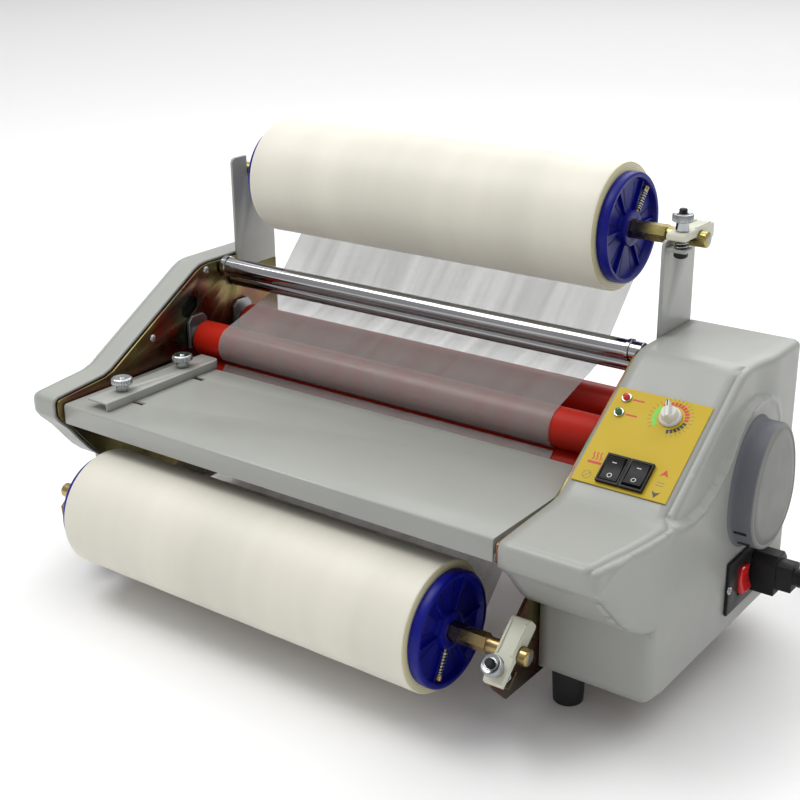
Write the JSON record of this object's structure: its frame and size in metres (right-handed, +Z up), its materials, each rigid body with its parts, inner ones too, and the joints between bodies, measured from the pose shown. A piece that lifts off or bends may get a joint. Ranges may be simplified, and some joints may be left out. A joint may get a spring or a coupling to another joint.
{
  "type": "roll laminator",
  "caption": "Desktop roll laminator with film rolls above and below, sprung silicone rollers, feed table, control panel and mains lead.",
  "frame": {"origin": "bottom centre of the machine without its mains lead", "axes": "+X to the operator's right along the rollers, +Y away from the operator, +Z up"},
  "size_m": [0.6985, 0.3789, 0.337],
  "materials": {
    "cover_paint": "satin warm light grey paint",
    "sheet_paint": "satin warm light grey paint",
    "yellow_zinc": "iridescent yellow zinc plating",
    "foot_rubber": "matt black rubber",
    "bright_hardware": "bright plated, knurled edge",
    "silicone": "dark red silicone, slight sheen",
    "machined_steel": "turned steel",
    "spring_steel": "drawn wire",
    "motor_steel": "dull zinc plated can",
    "guide_chrome": "polished hard chrome",
    "film_roll": "wound clear film, pearl gloss",
    "film_web": "thin clear film",
    "blue_plastic": "cobalt blue moulding",
    "shaft_zinc": "yellow zinc plated hexagon bar",
    "nylon": "off-white nylon",
    "panel_yellow": "printed yellow film",
    "knob_grey": "pale grey moulding",
    "red_lens": "translucent red lens",
    "green_lens": "translucent green lens",
    "switch_black": "fine textured black",
    "inlet_black": "fine textured black",
    "red_rocker": "translucent red",
    "moulded_black": "moulded flexible black",
    "cord_black": "round flexible lead, matt black"
  },
  "bodies": {
    "machine": {"left_cover": "cover_paint", "right_cover": "cover_paint", "feed_table": "sheet_paint", "rear_cross_panel": "sheet_paint", "left_roll_bracket": "sheet_paint", "right_roll_bracket": "sheet_paint", "left_side_plate": "yellow_zinc", "right_side_plate": "yellow_zinc", "foot_front_left": "foot_rubber", "foot_front_right": "foot_rubber", "foot_rear_left": "foot_rubber", "foot_rear_right": "foot_rubber", "left_pressure_spring": "spring_steel", "right_pressure_spring": "spring_steel", "top_brake_spring": "spring_steel", "bottom_brake_spring": "spring_steel", "gear_motor": "motor_steel", "upper_film_web": "film_web", "lower_film_web": "film_web", "top_brake_clamp": "nylon", "bottom_brake_clamp": "nylon", "control_panel": "panel_yellow", "red_lamp": "red_lens", "green_lamp": "green_lens", "switch_housing": "switch_black", "power_inlet": "inlet_black", "mains_connector": "moulded_black", "mains_plug": "moulded_black", "mains_cord": "cord_black", "mains_coil": "cord_black"},
    "guide": {"paper_guide": "sheet_paint"},
    "guide_screw_front": {"guide_screw_front": "bright_hardware"},
    "guide_screw_rear": {"guide_screw_rear": "bright_hardware"},
    "top_roll": {"top_film": "film_roll", "top_hub_left": "blue_plastic", "top_hub_right": "blue_plastic", "top_roll_shaft": "shaft_zinc"},
    "bottom_roll": {"bottom_film": "film_roll", "bottom_hub_left": "blue_plastic", "bottom_hub_right": "blue_plastic", "bottom_roll_shaft": "shaft_zinc"},
    "upper_bar": {"upper_guide_bar": "guide_chrome"},
    "lower_bar": {"lower_guide_bar": "guide_chrome"},
    "pressure_carriage": {"left_pressure_frame": "machined_steel", "right_pressure_frame": "machined_steel"},
    "front_lower_roller": {"front_lower_sleeve": "silicone", "front_lower_shaft": "machined_steel"},
    "front_upper_roller": {"front_upper_sleeve": "silicone", "front_upper_shaft": "machined_steel"},
    "rear_lower_roller": {"rear_lower_sleeve": "silicone", "rear_lower_shaft": "machined_steel"},
    "rear_upper_roller": {"rear_upper_sleeve": "silicone", "rear_upper_shaft": "machined_steel"},
    "drive": {"drive_gear": "machined_steel"},
    "dial": {"dial_knob": "knob_grey"},
    "heat_switch": {"heat_rocker": "switch_black"},
    "run_switch": {"run_rocker": "switch_black"},
    "power_switch": {"power_rocker": "red_rocker"},
    "top_nut": {"top_brake_nut": "bright_hardware"},
    "bottom_nut": {"bottom_brake_nut": "bright_hardware"}
  },
  "joints": [
    {"name": "guide_slide", "type": "slide", "parent": "machine", "child": "guide", "axis": [1, 0, 0], "range_m": [0, 0.02]},
    {"name": "guide_screw_front_turn", "type": "hinge", "parent": "guide", "child": "guide_screw_front", "pos_m": [-0.2075, -0.0815, 0.153], "axis": [0, 0, 1], "range_deg": [0, 360]},
    {"name": "guide_screw_rear_turn", "type": "hinge", "parent": "guide", "child": "guide_screw_rear", "pos_m": [-0.2075, -0.0155, 0.153], "axis": [0, 0, 1], "range_deg": [0, 360]},
    {"name": "top_roll_spin", "type": "hinge", "parent": "machine", "child": "top_roll", "pos_m": [-0.0385, 0.1125, 0.29], "axis": [1, 0, 0], "continuous": true},
    {"name": "bottom_roll_spin", "type": "hinge", "parent": "machine", "child": "bottom_roll", "pos_m": [-0.0385, -0.1135, 0.068], "axis": [1, 0, 0], "continuous": true},
    {"name": "upper_bar_spin", "type": "hinge", "parent": "machine", "child": "upper_bar", "pos_m": [-0.0385, 0.0725, 0.2137], "axis": [1, 0, 0], "continuous": true},
    {"name": "lower_bar_spin", "type": "hinge", "parent": "machine", "child": "lower_bar", "pos_m": [-0.0385, 0.083, 0.2002], "axis": [1, 0, 0], "continuous": true},
    {"name": "nip_lift", "type": "slide", "parent": "machine", "child": "pressure_carriage", "axis": [0, 0, 1], "range_m": [0, 0.002], "stiffness_N_per_m": 12000, "springref_m": -0.003, "deforming": ["left_pressure_spring", "right_pressure_spring", "upper_film_web"]},
    {"name": "front_lower_spin", "type": "hinge", "parent": "machine", "child": "front_lower_roller", "pos_m": [-0.0385, 0.0325, 0.131], "axis": [1, 0, 0], "continuous": true},
    {"name": "front_upper_spin", "type": "hinge", "parent": "pressure_carriage", "child": "front_upper_roller", "pos_m": [-0.0385, 0.0325, 0.161], "axis": [1, 0, 0], "continuous": true},
    {"name": "rear_lower_spin", "type": "hinge", "parent": "machine", "child": "rear_lower_roller", "pos_m": [-0.0385, 0.08863, 0.131], "axis": [1, 0, 0], "continuous": true},
    {"name": "rear_upper_spin", "type": "hinge", "parent": "pressure_carriage", "child": "rear_upper_roller", "pos_m": [-0.0385, 0.08863, 0.161], "axis": [1, 0, 0], "continuous": true},
    {"name": "drive_spin", "type": "hinge", "parent": "machine", "child": "drive", "pos_m": [0.1835, 0.06057, 0.12604], "axis": [1, 0, 0], "continuous": true},
    {"name": "dial_turn", "type": "hinge", "parent": "machine", "child": "dial", "pos_m": [0.2137, 0.01527, 0.19532], "axis": [0, -0.5699, 0.8217], "range_deg": [-150, 120]},
    {"name": "heat_switch_tip", "type": "hinge", "parent": "machine", "child": "heat_switch", "pos_m": [0.1949, -0.02444, 0.16608], "axis": [1, 0, 0], "range_deg": [-18, 0]},
    {"name": "run_switch_tip", "type": "hinge", "parent": "machine", "child": "run_switch", "pos_m": [0.2122, -0.02444, 0.16608], "axis": [1, 0, 0], "range_deg": [-9, 9]},
    {"name": "power_switch_tip", "type": "hinge", "parent": "machine", "child": "power_switch", "pos_m": [0.2523, 0.0605, 0.069], "axis": [0, 1, 0], "range_deg": [-16, 0]},
    {"name": "top_nut_turn", "type": "hinge", "parent": "machine", "child": "top_nut", "pos_m": [0.1755, 0.0965, 0.304], "axis": [0, 0, 1], "range_deg": [-360, 360]},
    {"name": "bottom_nut_turn", "type": "hinge", "parent": "machine", "child": "bottom_nut", "pos_m": [0.1755, -0.13476, 0.0677], "axis": [0, -0.6691, 0.7431], "range_deg": [-360, 360]}
  ],
  "couplings": [
    {"joint": "front_upper_spin", "follows": "front_lower_spin", "ratio": -1},
    {"joint": "rear_lower_spin", "follows": "front_lower_spin", "ratio": 1},
    {"joint": "rear_upper_spin", "follows": "front_lower_spin", "ratio": -1},
    {"joint": "drive_spin", "follows": "front_lower_spin", "ratio": -1.1111}
  ]
}
